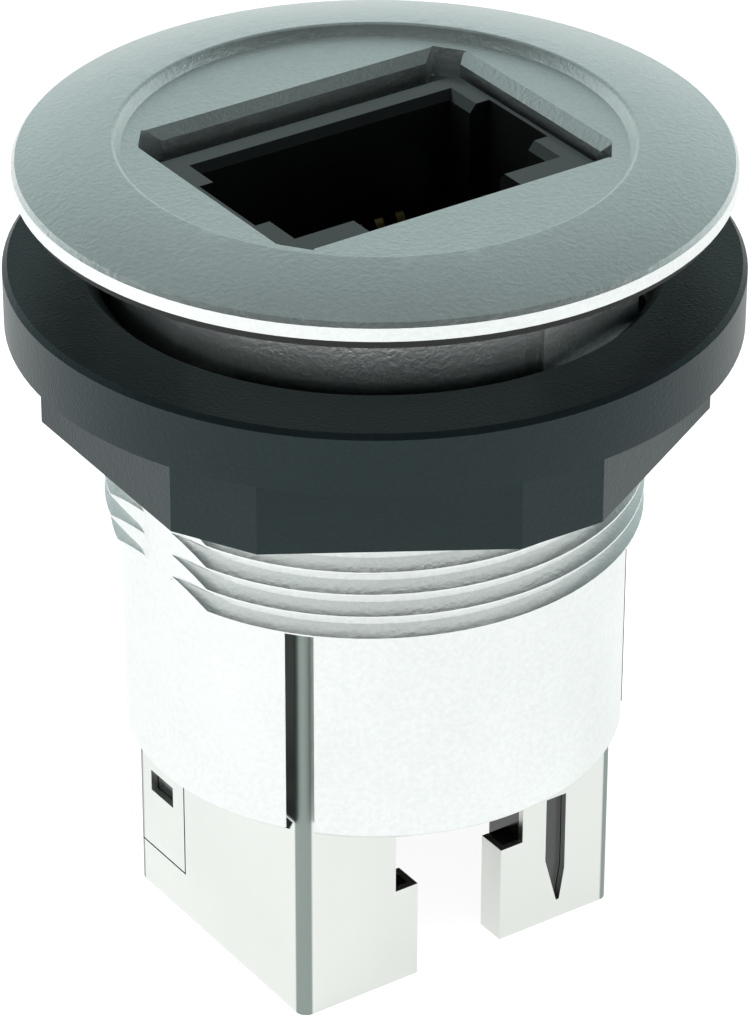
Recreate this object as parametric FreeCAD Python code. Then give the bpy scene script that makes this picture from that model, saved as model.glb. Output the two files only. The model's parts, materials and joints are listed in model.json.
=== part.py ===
import FreeCAD, Part
import math
import os

# A round network socket for a 22 mm panel hole, with a socket at each end.
# All sizes are in millimetres. +Z points to the front, out of the panel.
# The origin is the centre of the flat rear end, on the axis of the collar.
# Both sockets have their contacts on the +Y side and their latch on the -Y side.

V = FreeCAD.Vector

# Panel and collar
panel_z = 33.7            # the panel's front face, above the rear end
thread_d = 22.0           # outside of the M22 x 1 collar
thread_play = 0.05        # radial play of what runs on the collar
thread_len = 14.7         # from the panel's front face to the end of the thread
thread_end_chamfer = 0.3
sleeve_d = 20.66          # plain sleeve behind the thread
sleeve_len = 24.4         # from the panel's front face to the end of the sleeve
sleeve_end_chamfer = 0.2
flat_step = 0.05          # from the sleeve to the two long flats of the collar
neck_flat_depth = 0.45    # short flats close to the bezel
neck_flat_len = 4.5
neck_flat_turn = -72.0    # direction of the first short flat, in degrees from +X
core_wall = 1.05          # wall that is left round the hollows in the collar
core_roof = 2.3           # material between those hollows and the bezel's underside
corner_slot_w = 1.1       # slots in the sleeve where the shell's corners show
corner_slot_shift = 0.08  # towards the long sides of the shell

# Lock nut
nut_space = 3.3           # room for the panel, from its front face to the nut
nut_h = 6.35
nut_flange_d = 29.5
nut_flange_h = 2.6
nut_flange_bevel = 0.2
nut_flats = 25.0          # across the six flats
nut_corners = 26.7        # across the six cut corners
nut_turn = -1.6           # how far the nut is turned, in degrees
nut_lead_in = 0.6         # bevel at both ends of the bore

# Gasket and bezel
bezel_overhang = 3.25     # from the thread to the bezel's edge
gasket_inset = 0.25       # from the bezel's edge to the gasket's
gasket_t = 0.4
rim_h = 0.7
rim_bevel = 0.15
ring_rise = 0.8           # from the rim up to the crest of the raised ring
ring_bulge = 0.1          # how far the ring's top stands above a straight cone
ring_facets = 4
disc_drop = 0.45          # from the crest down to the flat disc inside it
disc_step_run = 0.3
disc_margin = 0.7         # from the window's corners to that step
window_lip_x = 0.37       # how far the window's sides hide the shell
window_lip_y = 0.69       # how far its top and bottom hide the shell
window_chamfer = 0.42
window_limit_d = 18.5     # circle that cuts the window's corners
corner_relief_w = 1.35    # square notches in the window's corners
corner_relief_len = 1.1

# Lugs that lock in the shell's windows
lug_w = 2.7
lug_h = 1.2
lug_z = 12.1              # the lugs' lower end
lug_bite = 0.22           # how far a lug reaches into the sheet
lug_play = 0.15

# Socket, the same at both ends
plug_w = 11.9
plug_h = 6.9
plug_depth = 12.6
socket_back = 1.0         # wall behind the plug
side_wall = 1.52          # insulator beside the plug
long_wall = 2.54          # insulator above and below the plug
mouth_bevel = 0.3
mouth_bevel_depth = 0.35
notch_h = 4.0             # side notches for the ground springs
notch_depth = 0.95
notch_len = 9.8
latch_w = 7.1             # wide part of the latch channel
latch_depth = 1.5
neck_w = 4.2              # gap between the two latch posts
post_h = 4.5
latch_window_w = 6.4      # window behind the posts
latch_window_len = 3.5
flap_edge = 1.65          # the shell's right-hand flap ends this far above the posts
frame_side = 0.2          # raised frame round the front mouth, beside the notches
frame_top = 1.15          # on the contact side
frame_bottom = 0.45       # outside the latch channel
frame_h = 0.55
frame_below_disc = 0.75   # from the bezel's disc down to the front mouth

# Shell, folded from sheet
sheet = 0.3
shell_fit = 0.03          # play between shell and insulators
cavity_fit = 0.05         # play between shell and collar
shell_corner_r = 0.5
slit_w = 0.08
tongue_w = 3.35           # stamped tongue in each short side
tongue_len = 5.0
tongue_low = 2.1          # its free end, above the rear end
tongue_edge = 0.32        # from the shell's corner to the tongue
tongue_hole_w = 1.7
tongue_hole_h = 1.0
tongue_hole_up = 2.8      # from the tongue's free end to its hole
side_slot_x = 4.4         # slot beside the right-hand post, up to the flap's edge
side_slot_w = 1.0
side_slot_low = 0.9
side_slot_tip_x = 0.6     # where the slot's narrow lower end starts, across
side_slot_tip_w = 0.15
side_slot_tip_len = 2.2
side_slot_shoulder = 1.5

# Contacts
contact_count = 8
contact_pitch = 1.02
contact_w = 0.4
contact_t = 0.3
contact_play = 0.075
contact_bend_r = 0.4
contact_inset = 1.25      # from the plug's space to the row of contacts
contact_top = 4.8         # depth of the hairpin's turn, below the mouth
contact_loop = 1.1        # width of the hairpin at its turn
contact_reach = 1.9       # how far the spring end stands into the socket
contact_tip_depth = 9.3
contact_curl_x = 0.5
contact_curl_len = 0.9
second_row = 1.05         # the rear tails' row, inside the plug's space
contact_jog = 0.8         # half the length over which a rear tail steps across
sharp_turn = 60.0         # bends up to this many degrees are left sharp

# Ground springs
spring_w = 3.4
spring_t = 0.2
spring_bend_r = 0.5
spring_seat = 0.2         # from the notch's floor to the spring
spring_bow = 0.15         # how far it stands into the plug's space
spring_bow_depth = 6.0
spring_end = 0.5          # the free end, back from the plug's space
spring_end_depth = 4.0
spring_foot = 0.25        # from the notch's end to the foot
spring_leg = 1.8
foot_slot_h = 0.5

# Carriers and circuit board
board_t = 1.0
hole_r = 0.36
hole_sides = 8
tail_past = 0.3           # how far a tail stands through the board
foot_w = 1.4
foot_h = 0.7

# Places and sizes that follow
bezel_under_z = panel_z + gasket_t
rim_z = bezel_under_z + rim_h
crest_z = rim_z + ring_rise
disc_z = crest_z - disc_drop
thread_end_z = panel_z - thread_len
sleeve_end_z = panel_z - sleeve_len
nut_top_z = panel_z - nut_space
mouth_z = disc_z - frame_below_disc
shoulder_z = mouth_z - frame_h
thread_r = thread_d / 2
bezel_r = thread_r + bezel_overhang
sleeve_r = sleeve_d / 2
run_r = thread_r + thread_play
body_w = plug_w + 2 * side_wall
body_h = plug_h + 2 * long_wall
body_depth = plug_depth + socket_back
shell_in_w = body_w + 2 * shell_fit
shell_in_h = body_h + 2 * shell_fit
shell_w = shell_in_w + 2 * sheet
shell_h = shell_in_h + 2 * sheet
cavity_w = shell_w + 2 * cavity_fit
cavity_h = shell_h + 2 * cavity_fit
notch_x = plug_w / 2 + notch_depth
latch_y = plug_h / 2 + latch_depth
contact_y = plug_h / 2 + contact_inset
second_y = plug_h / 2 - second_row
groove_w = contact_w + 2 * contact_play
groove_y = contact_y + contact_t / 2 + contact_play
carrier_t = (mouth_z - 2 * body_depth - board_t) / 2 - foot_h
board_z = body_depth + carrier_t + foot_h
inner_corner_r = shell_corner_r - sheet
past = 1.0                # how far a cutting shape runs past a face


def box(x0, x1, y0, y1, z0, z1):
    return Part.makeBox(x1 - x0, y1 - y0, z1 - z0, V(x0, y0, z0))


def block(w, h, z0, z1):
    """A block centred on the axis."""
    return box(-w / 2, w / 2, -h / 2, h / 2, z0, z1)


def rounded_block(w, h, z0, z1, r):
    solid = block(w, h, z0, z1)
    upright = [e for e in solid.Edges if abs(e.tangentAt(e.FirstParameter).z) > 0.5]
    return solid.makeFillet(r, upright)


def cylinder(r, z0, z1):
    return Part.makeCylinder(r, z1 - z0, V(0, 0, z0))


def cone(r0, z0, r1, z1):
    return Part.makeCone(r0, r1, z1 - z0, V(0, 0, z0))


def turned(shape, degrees, axis=V(0, 0, 1)):
    copy = shape.copy()
    copy.rotate(V(0, 0, 0), axis, degrees)
    return copy


def moved(shape, x, y, z):
    copy = shape.copy()
    copy.translate(V(x, y, z))
    return copy


def mirrored(shape):
    """The same shape on the other side of the plane x = 0."""
    return shape.mirror(V(0, 0, 0), V(1, 0, 0))


def prism(points, z0, z1):
    """An upright prism on a plan of (x, y) points."""
    corners = [V(x, y, z0) for x, y in points]
    face = Part.Face(Part.makePolygon(corners + corners[:1]))
    return face.extrude(V(0, 0, z1 - z0))


def regular_prism(sides, across, z0, z1):
    """A prism with equal sides, one of which faces +X."""
    half = math.pi / sides
    corner_r = across / 2 / math.cos(half)
    angles = [half * (2 * i + 1) for i in range(sides)]
    return prism([(corner_r * math.cos(a), corner_r * math.sin(a)) for a in angles], z0, z1)


def flared_block(w, h, z0, z1, flare):
    """A block whose four sides lean out by flare from z0 to z1."""
    rings = []
    for z, grow in ((z0, 0.0), (z1, flare)):
        x = w / 2 + grow
        y = h / 2 + grow
        rings.append([V(-x, -y, z), V(x, -y, z), V(x, y, z), V(-x, y, z)])
    low, high = rings
    faces = [low + low[:1], high + high[:1]]
    for i in range(4):
        j = (i + 1) % 4
        faces.append([low[i], low[j], high[j], high[i], low[i]])
    flat = [Part.Face(Part.makePolygon(corners)) for corners in faces]
    return Part.makeSolid(Part.makeShell(flat))


def turned_profile(outline):
    """A solid of revolution from an outline of (radius, z) points."""
    corners = [V(r, 0, z) for r, z in outline]
    face = Part.Face(Part.makePolygon(corners + corners[:1]))
    return face.revolve(V(0, 0, 0), V(0, 0, 1), 360)


def bevel_circle(solid, size, radius, z):
    """Bevels the circular edge with that radius at that height."""
    edges = []
    for edge in solid.Edges:
        if not isinstance(edge.Curve, Part.Circle):
            continue
        if abs(edge.Curve.Radius - radius) < 1e-4 and abs(edge.Curve.Center.z - z) < 1e-4:
            edges.append(edge)
    return solid.makeChamfer(size, edges)


def strip_side(points, bend_r, side):
    """One long edge of a bent strip, side to the left of its path."""
    start = points[0] + left_of(points[0], points[1]) * side
    edges = []
    for before, corner, after in zip(points, points[1:], points[2:]):
        come = (corner - before).normalize()
        go = (after - corner).normalize()
        turn = math.atan2(come.x * go.y - come.y * go.x, come.dot(go))
        left = left_of(before, corner)
        left_go = left_of(corner, after)
        if abs(turn) <= math.radians(sharp_turn):
            mitre = corner + (left + left_go) * (side / (1 + left.dot(left_go)))
            edges.append(("line", start, mitre))
            start = mitre
            continue
        reach = bend_r * math.tan(abs(turn) / 2)
        centre = corner - come * reach + left * math.copysign(bend_r, turn)
        arc_start = corner - come * reach + left * side
        arc_end = corner + go * reach + left_go * side
        arc_r = bend_r - side * math.copysign(1, turn)
        arc_middle = centre + (corner - centre).normalize() * arc_r
        if (arc_start - start).Length > 1e-6:
            edges.append(("line", start, arc_start))
        edges.append(("arc", arc_start, arc_middle, arc_end))
        start = arc_end
    end = points[-1] + left_of(points[-2], points[-1]) * side
    edges.append(("line", start, end))
    return edges


def left_of(a, b):
    """The direction to the left of the way from a to b."""
    way = (b - a).normalize()
    return V(-way.y, way.x, 0)


def bent_strip(path, bend_r, thick, place, along):
    """Sheet or wire bent to a path of straight runs with round bends.

    path holds 2D points, place turns one into a point in space, and along is
    the width of the strip as a vector.
    """
    points = [V(x, y, 0) for x, y in path]
    forth = strip_side(points, bend_r, thick / 2)
    back = [(e[0],) + tuple(reversed(e[1:]))
            for e in reversed(strip_side(points, bend_r, -thick / 2))]
    outline = forth + [("line", forth[-1][-1], back[0][1])] + back
    outline.append(("line", back[-1][-1], forth[0][1]))
    made = []
    for edge in outline:
        spots = [place(p.x, p.y) for p in edge[1:]]
        if edge[0] == "line":
            made.append(Part.makeLine(*spots))
        else:
            made.append(Part.Arc(*spots).toShape())
    face = Part.Face(Part.Wire(made))
    return face.extrude(along)


def contact_places():
    """The x of each contact, from one side of the socket to the other."""
    middle = (contact_count - 1) / 2
    return [(i - middle) * contact_pitch for i in range(contact_count)]


def at_front(shape):
    return moved(shape, 0, 0, mouth_z)


def at_rear(shape):
    return turned(shape, 180, V(0, 1, 0))


def make_bezel_housing():
    """Bezel, threaded collar and sleeve, moulded as one piece."""
    step_r = window_limit_d / 2 + disc_margin
    crest_r = step_r + disc_step_run
    outline = [
        (0, sleeve_end_z),
        (sleeve_r - sleeve_end_chamfer, sleeve_end_z),
        (sleeve_r, sleeve_end_z + sleeve_end_chamfer),
        (sleeve_r, thread_end_z),
        (thread_r - thread_end_chamfer, thread_end_z),
        (thread_r, thread_end_z + thread_end_chamfer),
        (thread_r, bezel_under_z),
        (bezel_r, bezel_under_z),
        (bezel_r, rim_z),
    ]
    for i in range(1, ring_facets + 1):
        share = i / ring_facets
        bulge = 4 * ring_bulge * share * (1 - share)
        outline.append((bezel_r + (crest_r - bezel_r) * share,
                        rim_z + ring_rise * share + bulge))
    outline += [(step_r, disc_z), (0, disc_z)]
    solid = turned_profile(outline)
    solid = bevel_circle(solid, rim_bevel, bezel_r, rim_z)

    cuts = [rounded_block(cavity_w, cavity_h, sleeve_end_z - past, shoulder_z,
                          shell_corner_r + cavity_fit)]
    cuts += make_window_cuts()
    cuts += make_core_hollows()
    cuts += make_corner_slots()
    cuts += make_collar_flats()
    solid = solid.cut(Part.makeCompound(cuts[1:])).cut(cuts[0])
    lug = make_lug()
    return solid.fuse([lug, turned(lug, 180)]).removeSplitter()


def make_window_cuts():
    """The bevelled window in the disc, with its cut corners and reliefs."""
    window_w = shell_w - 2 * window_lip_x
    window_h = shell_h - 2 * window_lip_y
    opening = block(window_w, window_h, shoulder_z - past, disc_z + past)
    bevel_z = disc_z - window_chamfer
    top_z = disc_z + past
    bevel = flared_block(window_w, window_h, bevel_z, top_z, top_z - bevel_z)
    limit_r = window_limit_d / 2
    limit = cylinder(limit_r, shoulder_z - past, disc_z + past)
    cuts = [opening.fuse(bevel).common(limit)]
    angle = math.degrees(math.atan2(window_h, window_w))
    notch = box(limit_r - corner_relief_len, limit_r, -corner_relief_w / 2,
                corner_relief_w / 2, shoulder_z - past, disc_z + past)
    cuts += [turned(notch, turn) for turn in (angle, 180 - angle, 180 + angle, -angle)]
    return [cuts[0].multiFuse(cuts[1:])]


def make_core_hollows():
    """Hollows above and below the cavity, open to the rear, for an even wall."""
    core_r = sleeve_r - core_wall
    top = bezel_under_z - core_roof
    keep = block(4 * core_r, cavity_h + 2 * core_wall, sleeve_end_z - 2 * past, top + past)
    return [cylinder(core_r, sleeve_end_z - past, top).cut(keep)]


def make_corner_slots():
    """Slots in the sleeve, where the corners of the shell come close to it."""
    angle = math.degrees(math.atan2(shell_h, shell_w))
    half = corner_slot_w / 2
    slot = box(cavity_h / 2, thread_r + past, corner_slot_shift - half,
               corner_slot_shift + half, sleeve_end_z - past, thread_end_z)
    slots = [turned(slot, angle), turned(slot, 180 + angle)]
    return slots + [mirrored(slot) for slot in slots]


def make_collar_flats():
    """Two long flats down the thread, and two short ones close to the bezel."""
    reach = thread_r + past
    long_flat = box(sleeve_r + flat_step, reach, -reach, reach, thread_end_z, bezel_under_z)
    short_flat = box(thread_r - neck_flat_depth, reach, -reach, reach,
                     bezel_under_z - neck_flat_len, bezel_under_z)
    return [long_flat, turned(long_flat, 180),
            turned(short_flat, neck_flat_turn), turned(short_flat, neck_flat_turn + 180)]


def make_lug():
    """A lug on the cavity's +Y wall, with a ramp towards the rear."""
    wall_y = cavity_h / 2
    tip_y = wall_y - cavity_fit - lug_bite
    root_y = wall_y + core_wall / 2
    low = V(-lug_w / 2, root_y, lug_z)
    corners = [low, V(low.x, root_y, lug_z + lug_h), V(low.x, tip_y, lug_z + lug_h),
               V(low.x, tip_y, lug_z + lug_h / 2), V(low.x, wall_y, lug_z), low]
    return Part.Face(Part.makePolygon(corners)).extrude(V(lug_w, 0, 0))


def make_panel_gasket():
    """A flat washer between bezel and panel."""
    ring = cylinder(bezel_r - gasket_inset, panel_z, bezel_under_z)
    return ring.cut(cylinder(run_r, panel_z - past, bezel_under_z + past))


def make_lock_nut():
    """Flanged six-sided nut with its six corners cut off."""
    low_z = nut_top_z - nut_h
    flange = cylinder(nut_flange_d / 2, nut_top_z - nut_flange_h, nut_top_z)
    flange = bevel_circle(flange, nut_flange_bevel, nut_flange_d / 2, nut_top_z)
    sides = regular_prism(6, nut_flats, low_z, nut_top_z - nut_flange_h)
    corners = turned(regular_prism(6, nut_corners, low_z, nut_top_z - nut_flange_h), 30)
    solid = turned(flange.fuse(sides.common(corners)), nut_turn)
    bore = cylinder(run_r, low_z - past, nut_top_z + past)
    wide = run_r + nut_lead_in
    top_bevel = cone(run_r, nut_top_z - nut_lead_in, wide, nut_top_z)
    low_bevel = cone(wide, low_z, run_r, low_z + nut_lead_in)
    return solid.cut([bore, top_bevel, low_bevel]).removeSplitter()


def make_shield_shell():
    """The folded metal shell round both sockets."""
    outer = rounded_block(shell_w, shell_h, 0, shoulder_z, shell_corner_r)
    inner = rounded_block(shell_in_w, shell_in_h, -past, shoulder_z + past,
                          inner_corner_r)
    shell = outer.cut(inner)
    front_y = -shell_h / 2
    neck = box(-neck_w / 2, neck_w / 2, front_y - past, front_y + past, -past, post_h)
    half_window = latch_window_w / 2
    window = box(-half_window, neck_w / 2, front_y - past, front_y + past,
                 post_h, post_h + latch_window_len)
    flap_window = box(neck_w / 2, half_window, front_y - past, front_y + past,
                      post_h, post_h + flap_edge)
    lug_hole = box(-lug_w / 2 - lug_play, lug_w / 2 + lug_play, -shell_h, shell_h,
                   lug_z - lug_play, lug_z + lug_h + lug_play)
    tongue = make_tongue_cut()
    shell = shell.cut([neck, window, flap_window, lug_hole, make_side_slot(), tongue,
                       mirrored(tongue)])
    fold = box(neck_w / 2, neck_w / 2 + sheet, front_y, -latch_y, 0, post_h)
    return shell.fuse([fold, mirrored(fold)]).removeSplitter()


def make_side_slot():
    """The narrowing slot in the latch side, to the right of the posts."""
    left = side_slot_x
    right = side_slot_x + side_slot_w
    low = side_slot_low
    top = post_h + flap_edge
    tip = side_slot_x + side_slot_tip_x
    points = [(tip + side_slot_tip_w, low), (right, low + side_slot_shoulder), (right, top),
              (left, top), (left, low + side_slot_tip_len), (tip, low)]
    corners = [V(x, -shell_h, z) for x, z in points]
    face = Part.Face(Part.makePolygon(corners + corners[:1]))
    return face.extrude(V(0, shell_h, 0))


def make_tongue_cut():
    """Three slits and a hole that free a tongue in the -X side."""
    top_y = shell_h / 2 - tongue_edge
    low_y = top_y - tongue_w
    high_z = tongue_low + tongue_len
    hole_y = (top_y + low_y) / 2
    hole_z = tongue_low + tongue_hole_up
    x0 = -shell_w
    x1 = -plug_w / 2
    cuts = [box(x0, x1, low_y - slit_w, low_y, tongue_low, high_z),
            box(x0, x1, top_y, top_y + slit_w, tongue_low, high_z),
            box(x0, x1, low_y - slit_w, top_y + slit_w, tongue_low - slit_w, tongue_low),
            box(x0, x1, hole_y - tongue_hole_w / 2, hole_y + tongue_hole_w / 2,
                hole_z, hole_z + tongue_hole_h)]
    return cuts[0].multiFuse(cuts[1:])


def make_socket_body(frame):
    """The insulator of one socket, with its mouth at z = 0, looking along +Z.

    frame is the height of the raised frame round the mouth.
    """
    solid = rounded_block(body_w, body_h, -body_depth, -frame, inner_corner_r)
    if frame > 0:
        frame_x = notch_x + frame_side
        solid = solid.fuse(box(-frame_x, frame_x, -latch_y - frame_bottom,
                               plug_h / 2 + frame_top, -frame, 0))
    neck_x = neck_w / 2 + sheet + shell_fit
    cuts = [
        block(plug_w, plug_h, -plug_depth, past),
        flared_block(plug_w, plug_h, -mouth_bevel_depth, past,
                     mouth_bevel * (past + mouth_bevel_depth) / mouth_bevel_depth),
        block(2 * notch_x, notch_h, -notch_len, past),
        box(-latch_w / 2, latch_w / 2, -latch_y, 0, -plug_depth, past),
        box(-neck_x, neck_x, -body_h, 0, -post_h, past),
        box(-latch_window_w / 2, latch_window_w / 2, -body_h, 0,
            -post_h - latch_window_len, -post_h),
        box(-body_w, body_w, -spring_w / 2 - spring_t / 2, spring_w / 2 + spring_t / 2,
            -notch_len, -notch_len + foot_slot_h),
    ]
    groove_top = contact_top - contact_t / 2 - contact_play
    for x in contact_places():
        cuts.append(box(x - groove_w / 2, x + groove_w / 2, 0, groove_y,
                        -body_depth - past, -groove_top))
    return solid.cut(cuts).removeSplitter()


def make_contact(x, tail_depth, jog_depth):
    """One bent contact at x, in a socket with its mouth at z = 0.

    Its tail is tail_depth below the mouth. With a jog_depth the tail steps
    over to the second row of holes there.
    """
    path = [(contact_y, -tail_depth)]
    if jog_depth:
        path = [(second_y, -tail_depth), (second_y, -jog_depth - contact_jog),
                (contact_y, -jog_depth + contact_jog)]
    tip_y = plug_h / 2 - contact_reach
    path += [(contact_y, -contact_top),
             (contact_y - contact_loop, -contact_top),
             (tip_y, -contact_tip_depth),
             (tip_y + contact_curl_x, -contact_tip_depth - contact_curl_len)]
    left = x - contact_w / 2
    return bent_strip(path, contact_bend_r, contact_t, lambda y, z: V(left, y, z),
                      V(contact_w, 0, 0))


def make_ground_spring():
    """The spring at the +X side of a socket with its mouth at z = 0."""
    base_x = notch_x - spring_seat
    foot_z = -notch_len + spring_foot
    path = [(shell_in_w / 2, foot_z),
            (base_x, foot_z),
            (base_x, foot_z + spring_leg),
            (plug_w / 2 - spring_bow, -spring_bow_depth),
            (plug_w / 2 + spring_end, -spring_end_depth)]
    return bent_strip(path, spring_bend_r, spring_t, lambda x, z: V(x, -spring_w / 2, z),
                      V(0, spring_w, 0))


def make_carrier(row_y):
    """A contact carrier with its face on the socket body at z = 0 and feet above."""
    solid = rounded_block(body_w, body_h, 0, carrier_t + foot_h, inner_corner_r)
    solid = solid.cut([block(body_w - 2 * foot_w, body_h, carrier_t, carrier_t + foot_h),
                       block(body_w, body_h - 2 * foot_w, carrier_t, carrier_t + foot_h)])
    low_y = row_y - contact_t / 2 - contact_play
    for x in contact_places():
        solid = solid.cut(box(x - groove_w / 2, x + groove_w / 2, low_y, groove_y,
                              -past, carrier_t + past))
    return solid.removeSplitter()


def make_circuit_board():
    """The board between the sockets, with a row of holes for each."""
    board = rounded_block(body_w, body_h, board_z, board_z + board_t, inner_corner_r)
    hole = regular_prism(hole_sides, 2 * hole_r, board_z - past, board_z + board_t + past)
    holes = [moved(hole, x, y, 0) for x in contact_places() for y in (contact_y, second_y)]
    return board.cut(holes)


def make_all():
    """Every piece of the jack, by the name of its node."""
    pieces = {
        "bezel_housing": make_bezel_housing(),
        "panel_gasket": make_panel_gasket(),
        "lock_nut": make_lock_nut(),
        "shield_shell": make_shield_shell(),
        "front_socket_body": at_front(make_socket_body(frame_h)),
        "rear_socket_body": at_rear(make_socket_body(0)),
        "circuit_board": make_circuit_board(),
    }
    rear_carrier = moved(make_carrier(second_y), 0, 0, body_depth)
    front_carrier = turned(make_carrier(contact_y), 180, V(0, 1, 0))
    pieces["rear_contact_carrier"] = rear_carrier
    pieces["front_contact_carrier"] = moved(front_carrier, 0, 0, mouth_z - body_depth)
    front_tail = mouth_z - board_z + tail_past
    rear_tail = board_z + board_t + tail_past
    rear_jog = body_depth + carrier_t / 2
    for number, x in enumerate(contact_places(), 1):
        pieces[f"front_contact_{number}"] = at_front(make_contact(x, front_tail, 0))
        pieces[f"rear_contact_{number}"] = at_rear(make_contact(x, rear_tail, rear_jog))
    spring = make_ground_spring()
    pieces["front_spring_right"] = at_front(spring)
    pieces["front_spring_left"] = at_front(mirrored(spring))
    pieces["rear_spring_left"] = at_rear(spring)
    pieces["rear_spring_right"] = at_rear(mirrored(spring))
    return pieces


os.makedirs("parts", exist_ok=True)
for name, shape in make_all().items():
    bounds = shape.BoundBox
    print(f"{name}: {len(shape.Solids)} solid, valid {shape.isValid()}, "
          f"{shape.Volume:.2f} mm3, z {bounds.ZMin:.2f} to {bounds.ZMax:.2f}")
    shape.exportStep(f"parts/{name}.step")
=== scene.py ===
# %% [markdown]
# # A round panel jack for a network cable
#
# The object is a feed-through socket for a 22 mm hole in a control panel: a
# round silver bezel with a socket in it, a threaded collar, a black lock nut,
# and a square metal housing with a second socket behind. Its solids come
# packed from the CAD model. This lesson loads them, winds the fine thread that
# the CAD model leaves out, gives each piece its finish, and sets up the
# camera, the floor and the light.

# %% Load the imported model
import bpy
import json
import math
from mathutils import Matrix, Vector

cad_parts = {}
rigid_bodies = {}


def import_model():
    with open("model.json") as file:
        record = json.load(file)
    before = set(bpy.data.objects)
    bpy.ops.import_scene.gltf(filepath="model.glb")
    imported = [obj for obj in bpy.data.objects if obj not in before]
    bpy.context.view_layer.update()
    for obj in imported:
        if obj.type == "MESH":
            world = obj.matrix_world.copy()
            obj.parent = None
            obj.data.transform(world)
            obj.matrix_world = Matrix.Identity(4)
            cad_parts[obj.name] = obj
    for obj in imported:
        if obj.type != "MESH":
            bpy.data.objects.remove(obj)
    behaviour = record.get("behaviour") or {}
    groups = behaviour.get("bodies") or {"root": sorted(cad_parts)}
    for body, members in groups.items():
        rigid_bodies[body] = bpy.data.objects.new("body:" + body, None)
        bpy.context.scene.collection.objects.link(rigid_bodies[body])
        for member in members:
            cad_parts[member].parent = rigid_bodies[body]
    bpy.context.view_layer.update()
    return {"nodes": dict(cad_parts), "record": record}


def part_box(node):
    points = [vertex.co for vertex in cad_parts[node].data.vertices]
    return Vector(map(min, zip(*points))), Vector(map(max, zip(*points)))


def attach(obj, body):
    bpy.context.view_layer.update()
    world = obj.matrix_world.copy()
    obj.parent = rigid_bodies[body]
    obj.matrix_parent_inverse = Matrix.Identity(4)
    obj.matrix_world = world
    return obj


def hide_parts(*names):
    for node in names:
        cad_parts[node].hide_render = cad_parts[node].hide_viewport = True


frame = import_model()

print("nodes loaded:", len(frame["nodes"]))

# %% [markdown]
# Blender works in metres and the jack was measured in millimetres, so one
# value turns one into the other. Two more say how close a vertex has to lie
# to a place that is looked for, and how exact a cut has to be: Blender's own
# tolerance is a tenth of a millimetre, too coarse for a thread. Operators act
# on everything that is selected, and the loaded nodes arrive selected, so
# small helpers clear the selection, pick a piece and open it for editing.
#
# The last helper copies a CAD node. The triangles of a node come loose, so
# the copy's are merged. The normals that came with them no longer fit after
# that and would leave dents in the shading, so they are dropped.

# %% Units and small helpers
MM = 0.001
root = "root"
near = 0.01 * MM
merge_gap = 0.002 * MM
fine = 0.0001 * MM


def clear_selection():
    if bpy.context.object and bpy.context.object.mode != "OBJECT":
        bpy.ops.object.mode_set(mode="OBJECT")
    bpy.ops.object.select_all(action="DESELECT")


def pick(piece):
    clear_selection()
    piece.select_set(True)
    bpy.context.view_layer.objects.active = piece


def edit_all(piece):
    """Edit mode with every vertex of the piece selected."""
    pick(piece)
    bpy.ops.object.mode_set(mode="EDIT")
    bpy.ops.mesh.select_mode(type="VERT")
    bpy.ops.mesh.select_all(action="SELECT")


def object_mode():
    bpy.ops.object.mode_set(mode="OBJECT")


def size_mm(piece):
    return [round(side / MM, 2) for side in piece.dimensions]


def own_copy(node_name, piece_name):
    """A copy of a CAD node, its loose triangles merged and its old normals dropped."""
    source = bpy.data.objects[node_name]
    piece = bpy.data.objects.new(piece_name, source.data.copy())
    bpy.context.collection.objects.link(piece)
    edit_all(piece)
    bpy.ops.mesh.remove_doubles(threshold=merge_gap)
    bpy.ops.mesh.mark_sharp(clear=True)
    object_mode()
    bpy.ops.mesh.customdata_custom_splitnormals_clear()
    return piece


clear_selection()
print("helpers ready")

# %% [markdown]
# The collar carries a fine M22 x 1 thread. In the CAD model it is a plain
# cylinder at the crest of the thread, which is what a panel hole feels. For
# the eye it needs its turns. A bump could fake them, but the photograph shows
# the thread from the side, where it runs out into pointed tips on the two
# long flats, and only real turns do that. So the housing is copied, its
# collar is brought down to the root of the thread, and a ridge is wound round
# it. The neck above the nut stays plain, as it is on the real collar.

# %% Copy the housing
thread_crest = 11.0 * MM
thread_root = 10.42 * MM
thread_pitch = 1.0 * MM
flat_x = 10.38 * MM
thread_low = 19.0 * MM
thread_high = 28.0 * MM
housing = own_copy("bezel_housing", "silver_bezel_and_collar")
print("housing copy:", len(housing.data.vertices), "vertices")

# %% [markdown]
# The flat disc round the window arrives as long thin triangles that meet in
# the window's corners, and smooth shading would drag streaks across them. So
# the faces inside the ring are joined wherever they are flat.

# %% Join the flat faces round the window
disc_r = 9.97 * MM
window_low = 33.0 * MM
for face in housing.data.polygons:
    corners = [housing.data.vertices[i].co for i in face.vertices]
    face.select = all(math.hypot(c.x, c.y) < disc_r and c.z > window_low
                      for c in corners)
for edge in housing.data.edges:
    edge.select = False
pick(housing)
bpy.ops.object.mode_set(mode="EDIT")
bpy.ops.mesh.select_mode(type="FACE")
bpy.ops.mesh.dissolve_limited(angle_limit=math.radians(0.5))
object_mode()
print("faces left on the housing:", len(housing.data.polygons))

# %% [markdown]
# The crest of the ring is a sharp edge in the CAD model. On the real bezel it
# is a little soft, so that edge gets a small round bevel.

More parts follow.
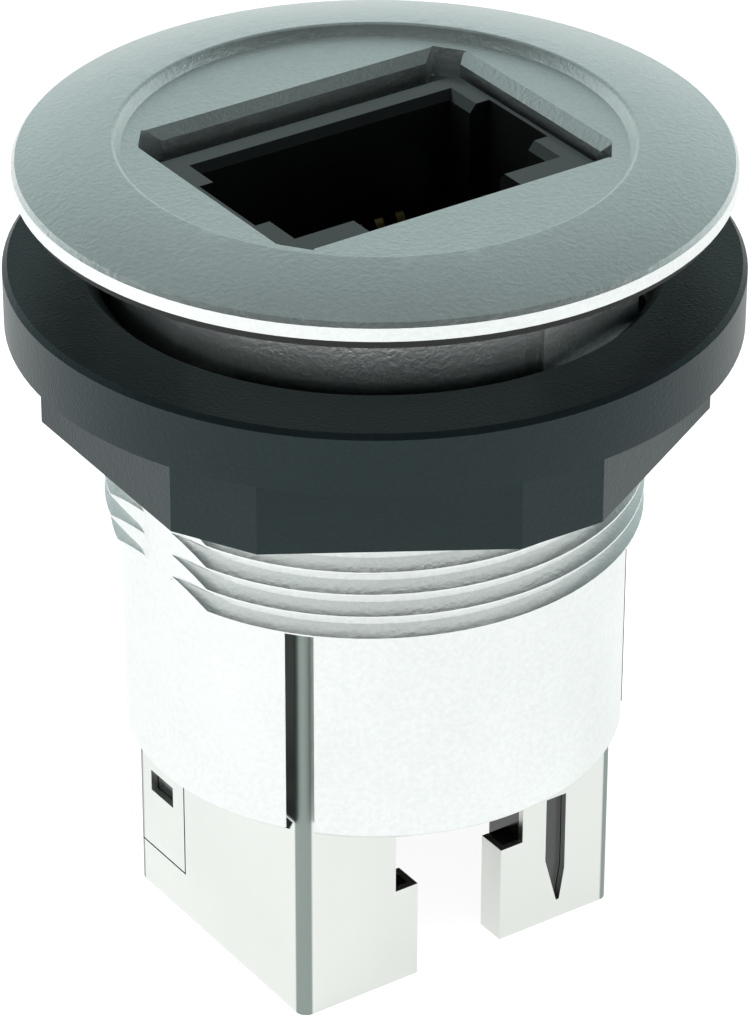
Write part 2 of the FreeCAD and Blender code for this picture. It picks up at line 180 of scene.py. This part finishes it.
# %% Soften the ring's crest
crest_r, crest_z = 10.25 * MM, 35.6 * MM
crest_bevel = 0.14 * MM
pick(housing)
bpy.ops.object.mode_set(mode="EDIT")
bpy.ops.mesh.select_mode(type="EDGE")
bpy.ops.mesh.select_all(action="DESELECT")
object_mode()
on_crest = [abs(math.hypot(v.co.x, v.co.y) - crest_r) < 2 * near
            and abs(v.co.z - crest_z) < 2 * near for v in housing.data.vertices]
for edge in housing.data.edges:
    edge.select = all(on_crest[i] for i in edge.vertices)
bpy.ops.object.mode_set(mode="EDIT")
bpy.ops.mesh.bevel(offset=crest_bevel, segments=4, affect="EDGES")
object_mode()
print("vertices on the crest:", sum(on_crest))

# %% [markdown]
# Inside the nut, where nobody sees it, a cut gives the collar one more ring
# of vertices. The thread begins below it and the plain neck above it.

# %% Cut the collar inside the nut
edit_all(housing)
bpy.ops.mesh.bisect(plane_co=(0, 0, thread_high), plane_no=(0, 0, 1), threshold=fine)
object_mode()
print("housing after the cut:", len(housing.data.vertices), "vertices")

# %% [markdown]
# The vertices of the collar below that cut are moved in to the root of the
# thread. Those that lie on a long flat keep their place across it and slide
# along it, so that the flats stay as wide apart as they are.

# %% Bring the collar down to the root of the thread
flat_edge_y = math.sqrt(thread_root ** 2 - flat_x ** 2)
moved = 0
for vertex in housing.data.vertices:
    x, y, z = vertex.co
    if z > thread_high + near or z < thread_low - near:
        continue
    if math.hypot(x, y) < thread_root + 2 * near:
        continue
    if abs(abs(x) - flat_x) < near:
        vertex.co.y = math.copysign(flat_edge_y, y)
    else:
        shrink = thread_root / math.hypot(x, y)
        vertex.co.x = x * shrink
        vertex.co.y = y * shrink
    moved += 1
housing.data.update()
print("moved to the root:", moved)

# %% [markdown]
# The sleeve's slots let the shell's corners show, and on the real part a dark
# gap stands beside each corner, because the sleeve is hollowed out behind
# its edge. A narrow block is cut out of the sleeve there, beside each corner.

# %% Hollow the sleeve beside the shell's corners
pocket_in, pocket_out = 7.8 * MM, 8.36 * MM
pocket_far, pocket_near = 6.42 * MM, 3.2 * MM
pocket_low, pocket_high = 9.38 * MM, 18.9 * MM
for side_x in (-1, 1):
    for side_y in (-1, 1):
        clear_selection()
        middle = (side_x * (pocket_in + pocket_out) / 2,
                  side_y * (pocket_far + pocket_near) / 2,
                  (pocket_low + pocket_high) / 2)
        bpy.ops.mesh.primitive_cube_add(size=1.0, location=middle)
        block = bpy.context.object
        block.scale = (pocket_out - pocket_in, pocket_far - pocket_near,
                       pocket_high - pocket_low)
        bpy.ops.object.transform_apply(location=True, rotation=True, scale=True)
        pocket = housing.modifiers.new("pocket", "BOOLEAN")
        pocket.object = block
        pocket.operation = "DIFFERENCE"
        pocket.solver = "EXACT"
        pick(housing)
        bpy.ops.object.modifier_apply(modifier="pocket")
        bpy.data.objects.remove(block)
print("housing after the pockets:", len(housing.data.vertices), "vertices")

# %% [markdown]
# The ridge starts as one small profile at the side of the collar: a flat
# quad whose outer edge is drawn together into the crest. Its inner edge lies
# a little inside the collar, so that no gap shows. The Screw modifier winds
# it up one pitch in each turn, and the ridge's two open ends are filled.

# %% Wind the thread
bpy.ops.mesh.primitive_plane_add(size=1.0)
thread = bpy.context.object
thread.name = "collar_thread"
edit_all(thread)
bpy.ops.transform.rotate(value=math.radians(90), orient_axis="X", center_override=(0, 0, 0))
object_mode()
inner_r = thread_root - 0.1 * MM
outer_r = thread_crest - 0.04 * MM
half_base = 0.44 * MM
half_crest = 0.035 * MM
first_turn_z = thread_low - 0.5 * MM
turn_count = 9
steps_in_turn = 96
profile = {
    (-1, -1): (inner_r, -half_base),
    (-1, 1): (inner_r, half_base),
    (1, -1): (outer_r, -half_crest),
    (1, 1): (outer_r, half_crest),
}
for vertex in thread.data.vertices:
    key = (1 if vertex.co.x > 0 else -1, 1 if vertex.co.z > 0 else -1)
    r, z = profile[key]
    vertex.co = (r, 0, first_turn_z + z)
edit_all(thread)
bpy.ops.mesh.delete(type="ONLY_FACE")
object_mode()
turns = thread.modifiers.new("turns", "SCREW")
turns.axis = "Z"
turns.angle = math.radians(360)
turns.screw_offset = thread_pitch
turns.iterations = turn_count
turns.steps = steps_in_turn
turns.render_steps = steps_in_turn
turns.use_merge_vertices = False
pick(thread)
bpy.ops.object.modifier_apply(modifier="turns")
edit_all(thread)
bpy.ops.mesh.fill_holes(sides=4)
object_mode()
print("thread:", size_mm(thread), len(thread.data.polygons), "faces")

# %% [markdown]
# Four cuts trim the ridge: one at the end of the collar, one inside the nut,
# and one at each long flat, where the turns run out into pointed tips. Each
# cut is filled, so the ridge stays a closed solid. The last two lie a hair
# inside the flats, because two faces in one plane would flicker.

# %% Trim the thread
trim_low = thread_low + 0.08 * MM
trim_high = thread_high - 0.2 * MM
trim_x = flat_x - 0.02 * MM
cuts = [
    ((0, 0, trim_low), (0, 0, -1)),
    ((0, 0, trim_high), (0, 0, 1)),
    ((trim_x, 0, 0), (1, 0, 0)),
    ((-trim_x, 0, 0), (-1, 0, 0)),
]
for place, outward in cuts:
    edit_all(thread)
    bpy.ops.mesh.bisect(plane_co=place, plane_no=outward, clear_outer=True,
                        use_fill=True, threshold=fine)
    object_mode()
edit_all(thread)
bpy.ops.mesh.normals_make_consistent(inside=False)
object_mode()
print("thread after trimming:", size_mm(thread))

# %% [markdown]
# Both pieces ride on the body of the jack and stand for the CAD housing. They
# are smoothed over gentle edges only. The housing's bevels are much smaller
# than the flats beside them, so its normals are weighted by the faces' sizes,
# which keeps the flats flat.

# %% Seat the housing and the thread
for piece in (housing, thread):
    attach(piece, root)
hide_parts("bezel_housing")
for piece, smooth_below in ((housing, 14), (thread, 32)):
    pick(piece)
    bpy.ops.object.shade_smooth_by_angle(angle=math.radians(smooth_below))
even_out = housing.modifiers.new("even_out", "WEIGHTED_NORMAL")
even_out.keep_sharp = True
pick(housing)
bpy.ops.object.modifier_apply(modifier="even_out")
print("housing and thread ride on", root)

# %% [markdown]
# The nut has the right shape, but its triangles are loose, so each is shaded
# by itself and catches the light in small ticks along the flange. A merged
# copy takes its place. Its flats meet at 30 degrees, so only gentler edges
# than that are smoothed.

# %% Copy the nut
nut = own_copy("lock_nut", "black_lock_nut")
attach(nut, root)
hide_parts("lock_nut")
pick(nut)
bpy.ops.object.shade_smooth_by_angle(angle=math.radians(20))
print("nut:", size_mm(nut), len(nut.data.polygons), "faces")

# %% [markdown]
# ## Finishes
#
# The silver pieces and the black nut share a fine moulded grain. Both have
# small bumps of slightly different sizes, so the grain is built once as a
# node group: a noise for the single grains, a second one that makes patches
# of deeper and flatter grain, and a slow one for faint changes of tone. The
# group gives out a height for the bump and two masks. Each finish sets its
# own scale and depth.

# %% Build the grain group


def add_node(tree, kind, x, y, **values):
    node = tree.nodes.new(kind)
    node.location = (x, y)
    for name, value in values.items():
        setattr(node, name, value)
    return node


def make_grain_group():
    tree = bpy.data.node_groups.new("moulded_grain", "ShaderNodeTree")
    face = tree.interface
    face.new_socket("Vector", in_out="INPUT", socket_type="NodeSocketVector")
    face.new_socket("Grain size", in_out="INPUT", socket_type="NodeSocketFloat")
    face.new_socket("Height", in_out="OUTPUT", socket_type="NodeSocketFloat")
    face.new_socket("Speckle", in_out="OUTPUT", socket_type="NodeSocketFloat")
    face.new_socket("Tone", in_out="OUTPUT", socket_type="NodeSocketFloat")
    enter = add_node(tree, "NodeGroupInput", -900, 0)
    leave = add_node(tree, "NodeGroupOutput", 500, 0)
    scale = add_node(tree, "ShaderNodeMath", -700, -200, operation="DIVIDE")
    scale.inputs[0].default_value = 1.0
    coarse = add_node(tree, "ShaderNodeMath", -500, -350, operation="MULTIPLY")
    coarse.inputs[1].default_value = 0.22
    grains = add_node(tree, "ShaderNodeTexNoise", -300, 200)
    grains.inputs["Detail"].default_value = 3.0
    grains.inputs["Roughness"].default_value = 0.62
    patches = add_node(tree, "ShaderNodeTexNoise", -300, -100)
    patches.inputs["Detail"].default_value = 2.0
    slow = add_node(tree, "ShaderNodeTexNoise", -300, -400)
    slow.inputs["Scale"].default_value = 160.0
    slow.inputs["Detail"].default_value = 2.0
    shape = add_node(tree, "ShaderNodeMapRange", -60, 200)
    shape.inputs["From Min"].default_value = 0.36
    shape.inputs["From Max"].default_value = 0.66
    deepen = add_node(tree, "ShaderNodeMapRange", -60, -100)
    deepen.inputs["From Min"].default_value = 0.3
    deepen.inputs["From Max"].default_value = 0.7
    deepen.inputs["To Min"].default_value = 0.55
    height = add_node(tree, "ShaderNodeMath", 180, 100, operation="MULTIPLY")
    link = tree.links.new
    link(enter.outputs["Grain size"], scale.inputs[1])
    link(scale.outputs[0], grains.inputs["Scale"])
    link(scale.outputs[0], coarse.inputs[0])
    link(coarse.outputs[0], patches.inputs["Scale"])
    for noise in (grains, patches, slow):
        link(enter.outputs["Vector"], noise.inputs["Vector"])
    link(grains.outputs["Fac"], shape.inputs["Value"])
    link(patches.outputs["Fac"], deepen.inputs["Value"])
    link(shape.outputs["Result"], height.inputs[0])
    link(deepen.outputs["Result"], height.inputs[1])
    link(height.outputs[0], leave.inputs["Height"])
    link(shape.outputs["Result"], leave.inputs["Speckle"])
    link(slow.outputs["Fac"], leave.inputs["Tone"])
    return tree


grain_group = make_grain_group()
print("group:", grain_group.name)

# %% [markdown]
# Every finish follows the same plan, so one function builds it: the grain
# mixes a darker and a lighter colour, shifts the roughness a little, and
# lifts the surface through a bump. What is the same all over the surface,
# such as how metallic it is, is set on the shader's own socket.

# %% A finish with grain


def grained_finish(name, dark, light, metallic, rough, grain_mm, depth_mm,
                   specular=0.5, tint=(1, 1, 1)):
    finish = bpy.data.materials.new(name)
    finish.use_nodes = True
    tree = finish.node_tree
    shader = tree.nodes["Principled BSDF"]
    shader.inputs["Metallic"].default_value = metallic
    shader.inputs["Specular IOR Level"].default_value = specular
    shader.inputs["Specular Tint"].default_value = (*tint, 1)
    place = add_node(tree, "ShaderNodeTexCoord", -1000, 0)
    grain = add_node(tree, "ShaderNodeGroup", -800, 0, node_tree=grain_group)
    grain.inputs["Grain size"].default_value = grain_mm * MM
    blend = add_node(tree, "ShaderNodeMath", -560, 260, operation="MULTIPLY_ADD")
    blend.inputs[1].default_value = 0.35
    colour = add_node(tree, "ShaderNodeMix", -340, 260, data_type="RGBA")
    colour.inputs["A"].default_value = (*dark, 1)
    colour.inputs["B"].default_value = (*light, 1)
    rougher = add_node(tree, "ShaderNodeMapRange", -340, 0)
    rougher.inputs["To Min"].default_value = rough[0]
    rougher.inputs["To Max"].default_value = rough[1]
    bump = add_node(tree, "ShaderNodeBump", -340, -260)
    bump.inputs["Strength"].default_value = 1.0
    bump.inputs["Distance"].default_value = depth_mm * MM
    link = tree.links.new
    link(place.outputs["Object"], grain.inputs["Vector"])
    link(grain.outputs["Speckle"], blend.inputs[0])
    link(grain.outputs["Tone"], blend.inputs[2])
    link(blend.outputs[0], colour.inputs["Factor"])
    link(grain.outputs["Tone"], rougher.inputs["Value"])
    link(grain.outputs["Height"], bump.inputs["Height"])
    link(colour.outputs["Result"], shader.inputs["Base Color"])
    link(rougher.outputs["Result"], shader.inputs["Roughness"])
    link(bump.outputs["Normal"], shader.inputs["Normal"])
    return finish


silver = grained_finish(
    "pebbled_silver", dark=(0.68, 0.7, 0.69), light=(0.83, 0.85, 0.84), metallic=1.0,
    rough=(0.34, 0.46), grain_mm=0.22, depth_mm=0.01)
nut_black = grained_finish(
    "satin_black_nut", dark=(0.003, 0.006, 0.007), light=(0.01, 0.015, 0.017),
    metallic=0.0, rough=(0.34, 0.46), grain_mm=0.16, depth_mm=0.008, specular=0.32,
    tint=(0.72, 1.0, 1.0))
gasket_black = grained_finish(
    "gasket_rubber", dark=(0.006, 0.006, 0.006), light=(0.016, 0.016, 0.016),
    metallic=0.0, rough=(0.65, 0.85), grain_mm=0.1, depth_mm=0.006)
insulator_black = grained_finish(
    "insulator_black", dark=(0.003, 0.003, 0.003), light=(0.009, 0.01, 0.01),
    metallic=0.0, rough=(0.14, 0.2), grain_mm=0.08, depth_mm=0.001, specular=0.9)
print("grained finishes ready")

# %% [markdown]
# The housing and the springs are plain plated sheet. Rolled sheet keeps very
# fine lines along its rolling direction, so a noise is stretched along the
# jack's axis and only touches the roughness and the bump. The contacts and
# the board use the same recipe with their own colours.

# %% Sheet, contacts and board


def rolled_finish(name, dark, light, metallic, rough, stretch, line_depth_mm):
    finish = bpy.data.materials.new(name)
    finish.use_nodes = True
    tree = finish.node_tree
    shader = tree.nodes["Principled BSDF"]
    shader.inputs["Metallic"].default_value = metallic
    place = add_node(tree, "ShaderNodeTexCoord", -1000, 0)
    turn = add_node(tree, "ShaderNodeMapping", -800, 0)
    turn.inputs["Scale"].default_value = stretch
    lines = add_node(tree, "ShaderNodeTexNoise", -600, 100)
    lines.inputs["Scale"].default_value = 900.0
    lines.inputs["Detail"].default_value = 4.0
    cloud = add_node(tree, "ShaderNodeTexNoise", -600, -200)
    cloud.inputs["Scale"].default_value = 120.0
    cloud.inputs["Detail"].default_value = 2.0
    colour = add_node(tree, "ShaderNodeMix", -340, 260, data_type="RGBA")
    colour.inputs["A"].default_value = (*dark, 1)
    colour.inputs["B"].default_value = (*light, 1)
    rougher = add_node(tree, "ShaderNodeMapRange", -340, 0)
    rougher.inputs["To Min"].default_value = rough[0]
    rougher.inputs["To Max"].default_value = rough[1]
    bump = add_node(tree, "ShaderNodeBump", -340, -260)
    bump.inputs["Strength"].default_value = 0.6
    bump.inputs["Distance"].default_value = line_depth_mm * MM
    link = tree.links.new
    link(place.outputs["Object"], turn.inputs["Vector"])
    link(turn.outputs["Vector"], lines.inputs["Vector"])
    link(place.outputs["Object"], cloud.inputs["Vector"])
    link(cloud.outputs["Fac"], colour.inputs["Factor"])
    link(lines.outputs["Fac"], rougher.inputs["Value"])
    link(lines.outputs["Fac"], bump.inputs["Height"])
    link(colour.outputs["Result"], shader.inputs["Base Color"])
    link(rougher.outputs["Result"], shader.inputs["Roughness"])
    link(bump.outputs["Normal"], shader.inputs["Normal"])
    return finish


along_axis = (1.0, 1.0, 0.06)
plated_sheet = rolled_finish(
    "plated_sheet", dark=(0.66, 0.68, 0.65), light=(0.74, 0.755, 0.725), metallic=1.0,
    rough=(0.26, 0.4), stretch=along_axis, line_depth_mm=0.002)
gold = rolled_finish(
    "gold_contact", dark=(0.56, 0.38, 0.15), light=(0.68, 0.49, 0.22), metallic=1.0,
    rough=(0.3, 0.42), stretch=along_axis, line_depth_mm=0.001)
board_green = rolled_finish(
    "board_green", dark=(0.012, 0.075, 0.03), light=(0.02, 0.11, 0.045), metallic=0.0,
    rough=(0.35, 0.5), stretch=(1.0, 1.0, 1.0), line_depth_mm=0.002)
print("rolled finishes ready")

# %% [markdown]
# The shell is folded from that sheet, and a grey line of painted shade runs down every
# corner, standing in for the darker reflection of the rounded fold. The places of the folds
# follow from the shell's size, so Object coordinates find them: where both the distance
# across and the distance along the other side come close to their largest, the finish turns
# to that painted grey and gets rougher.

# %% Paint shade along the folds


def paint_fold_shade(finish, half_w, half_h, fold_r, fold_shade_colour, fold_rough):
    """Fade to a painted darker shade and a rougher finish from just inside each fold to
    just past its start.
    """
    tree = finish.node_tree
    shader = tree.nodes["Principled BSDF"]
    link = tree.links.new
    place = add_node(tree, "ShaderNodeTexCoord", -1000, -700)
    parts = add_node(tree, "ShaderNodeSeparateXYZ", -800, -700)
    link(place.outputs["Object"], parts.inputs[0])
    masks = []
    for axis, half in (("X", half_w), ("Y", half_h)):
        size = add_node(tree, "ShaderNodeMath", -600, -700, operation="ABSOLUTE")
        at_side = add_node(tree, "ShaderNodeMapRange", -400, -700)
        at_side.inputs["From Min"].default_value = half - fold_r - 0.03 * MM
        at_side.inputs["From Max"].default_value = half - fold_r + 0.06 * MM
        link(parts.outputs[axis], size.inputs[0])
        link(size.outputs[0], at_side.inputs["Value"])
        masks.append(at_side.outputs["Result"])
    fold = add_node(tree, "ShaderNodeMath", -200, -700, operation="MULTIPLY")
    link(masks[0], fold.inputs[0])
    link(masks[1], fold.inputs[1])
    # The dark colour mixed in here is painted shade along each fold.
    colour = add_node(tree, "ShaderNodeMix", -100, 260, data_type="RGBA")
    colour.inputs["B"].default_value = (*fold_shade_colour, 1)
    rougher = add_node(tree, "ShaderNodeMix", -100, 0, data_type="FLOAT")
    rougher.inputs["B"].default_value = fold_rough
    for mix, socket in ((colour, "Base Color"), (rougher, "Roughness")):
        was = shader.inputs[socket].links[0].from_socket
        link(fold.outputs[0], mix.inputs["Factor"])
        link(was, mix.inputs["A"])
        link(mix.outputs["Result"], shader.inputs[socket])


shell_low, shell_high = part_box("shield_shell")
# Painted shade: a dark grey down the shell's corners, with a rougher finish there.
paint_fold_shade(plated_sheet, half_w=shell_high[0], half_h=shell_high[1], fold_r=0.5 * MM,
           fold_shade_colour=(0.27, 0.31, 0.29), fold_rough=0.5)
print("shell:", [round(v / MM, 2) for v in shell_high])

# %% [markdown]
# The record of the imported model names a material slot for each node, so one
# table from slot to finish serves them all. The three pieces made here get
# theirs by hand.

# %% Give each piece its finish
finish_of_slot = {
    "silver_housing": silver,
    "black_gasket": gasket_black,
    "black_plastic": nut_black,
    "steel_shell": plated_sheet,
    "black_insulator": insulator_black,
    "green_board": board_green,
    "gold_contact": gold,
}
for part in frame["record"]["subparts"]:
    node = bpy.data.objects[part["node"]]
    finish = finish_of_slot[part["material_slot"]]
    if not node.material_slots:
        node.data.materials.append(finish)
    for slot in node.material_slots:
        slot.material = finish
for piece, finish in ((housing, silver), (thread, silver), (nut, nut_black)):
    piece.data.materials.clear()
    piece.data.materials.append(finish)

# %% [markdown]
# ## Floor, light and camera
#
# The photograph is a cut-out on white. A large white floor that glows a
# little keeps the ground white right round the jack and lights its sides
# from below, as a light table does.

# %% Floor
clear_selection()
bpy.ops.mesh.primitive_plane_add(size=4.0, location=(0, 0, 0))
floor = bpy.context.object
floor.name = "white_floor"
floor_paint = bpy.data.materials.new("floor_white")
floor_paint.use_nodes = True
floor_shader = floor_paint.node_tree.nodes["Principled BSDF"]
floor_shader.inputs["Base Color"].default_value = (0.6, 0.6, 0.6, 1)
floor_shader.inputs["Roughness"].default_value = 0.9
floor_shader.inputs["Specular IOR Level"].default_value = 0.0
floor_shader.inputs["Emission Color"].default_value = (1, 1, 1, 1)
floor_shader.inputs["Emission Strength"].default_value = 0.93
floor.data.materials.append(floor_paint)
print("floor ready")

# %% [markdown]
# The world is bright near the horizon and greyer overhead, which gives the
# silver its darker top and white flanks. Its upper part is darker still on
# the side of the camera and to the left and right of it, as in a studio whose
# light comes from behind the object. The bevels of the window and the step of
# the ring mirror that side, so they stand out from the disc.

# %% World


def grade(ramp_node, stops):
    """Give a colour ramp its stops, from the first to the last."""
    elements = ramp_node.color_ramp.elements
    for element, (position, colour) in zip(elements, (stops[0], stops[-1])):
        element.position = position
        element.color = (*colour, 1)
    for position, colour in stops[1:-1]:
        elements.new(position).color = (*colour, 1)


world = bpy.data.worlds.new("studio")
bpy.context.scene.world = world
world.use_nodes = True
sky = world.node_tree
background = sky.nodes["Background"]
around = add_node(sky, "ShaderNodeTexCoord", -900, 0)
split = add_node(sky, "ShaderNodeSeparateXYZ", -700, 0)
by_height = add_node(sky, "ShaderNodeValToRGB", -500, 0)
grade(by_height, [(0.0, (1.0, 1.0, 1.0)), (0.2, (0.72, 0.88, 0.87)),
                  (0.5, (0.41, 0.51, 0.51)), (0.9, (0.21, 0.25, 0.25)),
                  (1.0, (0.38, 0.44, 0.43))])
towards_camera = add_node(sky, "ShaderNodeVectorMath", -700, -200,
                          operation="DOT_PRODUCT")
towards_camera.inputs[1].default_value = (-0.56, -0.83, 0.0)
camera_side = add_node(sky, "ShaderNodeMapRange", -500, -260,
                       interpolation_type="SMOOTHSTEP")
camera_side.inputs["From Min"].default_value = -0.75
camera_side.inputs["From Max"].default_value = 0.15
camera_side.inputs["To Max"].default_value = 0.8
above = add_node(sky, "ShaderNodeValToRGB", -560, -520)
grade(above, [(0.26, (0, 0, 0)), (0.5, (1, 1, 1)), (0.85, (1, 1, 1)),
              (1.0, (0.25, 0.25, 0.25))])
dark_part = add_node(sky, "ShaderNodeMath", -300, -360, operation="MULTIPLY")
dim = add_node(sky, "ShaderNodeMath", -120, -200, operation="SUBTRACT")
dim.inputs[0].default_value = 0.95
sky.links.new(around.outputs["Generated"], split.inputs[0])
sky.links.new(around.outputs["Generated"], towards_camera.inputs[0])
sky.links.new(split.outputs["Z"], by_height.inputs["Fac"])
sky.links.new(by_height.outputs["Color"], background.inputs["Color"])
sky.links.new(towards_camera.outputs["Value"], camera_side.inputs["Value"])
sky.links.new(split.outputs["Z"], above.inputs["Fac"])
sky.links.new(camera_side.outputs["Result"], dark_part.inputs[0])
sky.links.new(above.outputs["Color"], dark_part.inputs[1])
sky.links.new(dark_part.outputs[0], dim.inputs[1])
sky.links.new(dim.outputs[0], background.inputs["Strength"])
print("world ready")

# %% [markdown]
# Three large soft lamps stand left, right and behind, as the camera sees it.
# The left one is the strongest. They light the black and white surfaces but
# stay out of the mirrored picture in the metal, which shows only the floor
# and the world.

# %% Soft lamps


def soft_lamp(name, place_mm, aim_mm, side_mm, watts):
    lamp_data = bpy.data.lights.new(name, "AREA")
    lamp_data.shape = "SQUARE"
    lamp_data.size = side_mm * MM
    lamp_data.energy = watts
    lamp = bpy.data.objects.new(name, lamp_data)
    bpy.context.collection.objects.link(lamp)
    place = Vector(place_mm) * MM
    aim = Vector(aim_mm) * MM
    lamp.location = place
    lamp.rotation_euler = (aim - place).to_track_quat("-Z", "Y").to_euler()
    lamp.visible_glossy = False
    return lamp


# The camera looks from the left of -Y, turned by this angle about the axis.
view_turn = math.radians(-34.3)


def by_camera(right, away, up):
    """A place given as the camera sees it: right, away from it, and up."""
    c, s = math.cos(view_turn), math.sin(view_turn)
    return (right * c - away * s, right * s + away * c, up)


soft_lamp("lamp_left", by_camera(-320, -60, 120), (0, 0, 15), side_mm=240, watts=0.8)
soft_lamp("lamp_right", by_camera(320, -60, 120), (0, 0, 15), side_mm=240, watts=0.25)
soft_lamp("lamp_back", by_camera(-200, 260, 110), (0, 0, 20), side_mm=260, watts=0.15)
print("lamps ready")

# %% [markdown]
# The camera was found by fitting the outlines of bezel, collar, nut and
# housing to the photograph: a long lens, 30.6 degrees above the horizon and
# 34.3 degrees to the left of the latch side.

# %% Camera
camera_data = bpy.data.cameras.new("photo_camera")
camera_data.lens = 175.35
camera_data.sensor_width = 36.0
camera = bpy.data.objects.new("photo_camera", camera_data)
bpy.context.collection.objects.link(camera)
camera.location = Vector((-98.67, -144.84, 121.87)) * MM
camera.rotation_euler = [math.radians(turn) for turn in (59.452, -0.130, -34.223)]
bpy.context.scene.camera = camera
bpy.context.scene.view_settings.view_transform = "Standard"
print("camera at", [round(v / MM, 1) for v in camera.location])

# %% [markdown]
# Last, the selection is cleared. The dressed one has to stay within the
# other.

# %% Finish
clear_selection()
